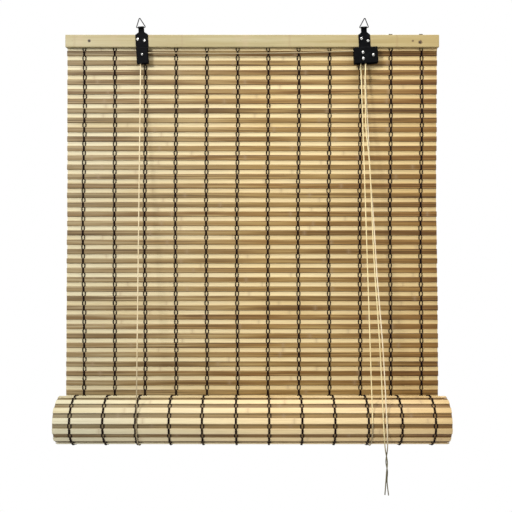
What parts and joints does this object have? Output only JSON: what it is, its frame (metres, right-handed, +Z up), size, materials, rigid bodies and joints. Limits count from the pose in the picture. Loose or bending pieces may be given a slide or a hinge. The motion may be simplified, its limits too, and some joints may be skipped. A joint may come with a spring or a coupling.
{
  "type": "roller blind",
  "caption": "Woven bamboo slat blind rolled up from below by looped lift cords, hung by two wire rings from a lath head rail with a cord lock.",
  "frame": {"origin": "Half way between the two wall hooks, where the insides of the two wire rings bear on them.", "axes": "+X to the right seen from the room, +Y towards the wall, +Z up; the front of the blind faces -Y."},
  "size_m": [0.8, 0.1101, 0.9871],
  "materials": {
    "rail_bamboo": "satin",
    "slat_bamboo": "satin",
    "dark_thread": "matte",
    "cord": "matte",
    "black_metal": "gloss",
    "zinc_steel": "bright",
    "dark_steel": "satin"
  },
  "bodies": {
    "head": {"front_lath": "rail_bamboo", "back_lath": "rail_bamboo", "rail_nail_left": "zinc_steel", "rail_nail_right": "zinc_steel", "slat_band_01": "slat_bamboo", "slat_band_02": "slat_bamboo", "slat_band_03": "slat_bamboo", "slat_band_04": "slat_bamboo", "slat_band_05": "slat_bamboo", "slat_band_06": "slat_bamboo", "slat_band_07": "slat_bamboo", "slat_band_08": "slat_bamboo", "slat_band_09": "slat_bamboo", "slat_band_10": "slat_bamboo", "warp_cord_01": "dark_thread", "warp_cord_02": "dark_thread", "warp_cord_03": "dark_thread", "warp_cord_04": "dark_thread", "warp_cord_05": "dark_thread", "warp_cord_06": "dark_thread", "warp_cord_07": "dark_thread", "warp_cord_08": "dark_thread", "warp_cord_09": "dark_thread", "warp_cord_10": "dark_thread", "warp_cord_11": "dark_thread", "warp_cord_12": "dark_thread", "hanger_plate_left": "black_metal", "hanger_plate_right": "black_metal", "pulley_case_left": "black_metal", "lock_case_right": "black_metal", "screw_left_1": "zinc_steel", "screw_left_2": "zinc_steel", "screw_right_1": "zinc_steel", "screw_right_2": "zinc_steel", "rivet_left": "zinc_steel", "rivet_right_1": "zinc_steel", "rivet_right_2": "zinc_steel", "rivet_right_3": "zinc_steel", "cross_cord": "cord", "lock_cord_bend": "cord", "lift_cord_left_front": "cord", "lift_cord_left_rear": "cord", "lift_cord_right_front": "cord", "lift_cord_right_rear": "cord"},
    "lift_loops": {"lift_cord_left_loop": "cord", "lift_cord_right_loop": "cord"},
    "roll": {"rolled_panel": "slat_bamboo", "bottom_lath": "rail_bamboo"},
    "pull_cords": {"pull_cord_1": "cord", "pull_cord_2": "cord"},
    "pulley_left": {"pulley_left": "dark_steel"},
    "lock_pulley_front": {"lock_pulley_front": "dark_steel"},
    "lock_pulley_rear": {"lock_pulley_rear": "dark_steel"},
    "lock_cam": {"lock_cam": "dark_steel"},
    "ring_left": {"hook_ring_left": "dark_steel"},
    "ring_right": {"hook_ring_right": "dark_steel"}
  },
  "joints": [
    {"name": "lift", "type": "slide", "parent": "head", "child": "lift_loops", "axis": [0, 0, 1], "range_m": [0, 0.6576], "deforming": ["slat_band_03", "slat_band_04", "slat_band_05", "slat_band_06", "slat_band_07", "slat_band_08", "slat_band_09", "slat_band_10", "warp_cord_01", "warp_cord_02", "warp_cord_03", "warp_cord_04", "warp_cord_05", "warp_cord_06", "warp_cord_07", "warp_cord_08", "warp_cord_09", "warp_cord_10", "warp_cord_11", "warp_cord_12", "lift_cord_left_front", "lift_cord_left_rear", "lift_cord_right_front", "lift_cord_right_rear"]},
    {"name": "roll_spin", "type": "hinge", "parent": "lift_loops", "child": "roll", "pos_m": [0, -0.0337, -0.84705], "axis": [1, 0, 0], "range_deg": [-720.1, 0]},
    {"name": "pull", "type": "slide", "parent": "head", "child": "pull_cords", "axis": [0, 0, -1], "range_m": [0, 1.3153], "deforming": ["pull_cord_1", "pull_cord_2"]},
    {"name": "pulley_left_spin", "type": "hinge", "parent": "head", "child": "pulley_left", "pos_m": [-0.23434, -0.0011, -0.07738], "axis": [0, 1, 0], "continuous": true},
    {"name": "lock_pulley_front_spin", "type": "hinge", "parent": "head", "child": "lock_pulley_front", "pos_m": [0.2352, -0.0056, -0.07458], "axis": [0, 1, 0], "continuous": true},
    {"name": "lock_pulley_rear_spin", "type": "hinge", "parent": "head", "child": "lock_pulley_rear", "pos_m": [0.2352, -0.0011, -0.07458], "axis": [0, 1, 0], "continuous": true},
    {"name": "lock_cam_release", "type": "hinge", "parent": "head", "child": "lock_cam", "pos_m": [0.25719, -0.00335, -0.07964], "axis": [0, 1, 0], "range_deg": [0, 30]},
    {"name": "ring_left_swing", "type": "hinge", "parent": "head", "child": "ring_left", "pos_m": [-0.23953, 0, -0.01858], "axis": [0.9986, 0, 0.0523], "range_deg": [-90, 140]},
    {"name": "ring_right_swing", "type": "hinge", "parent": "head", "child": "ring_right", "pos_m": [0.24147, 0, -0.01858], "axis": [0.9986, 0, 0.0523], "range_deg": [-90, 140]}
  ],
  "couplings": [
    {"joint": "roll_spin", "follows": "lift", "rad_per_m": -19.109},
    {"joint": "pull", "follows": "lift", "ratio": 2}
  ]
}
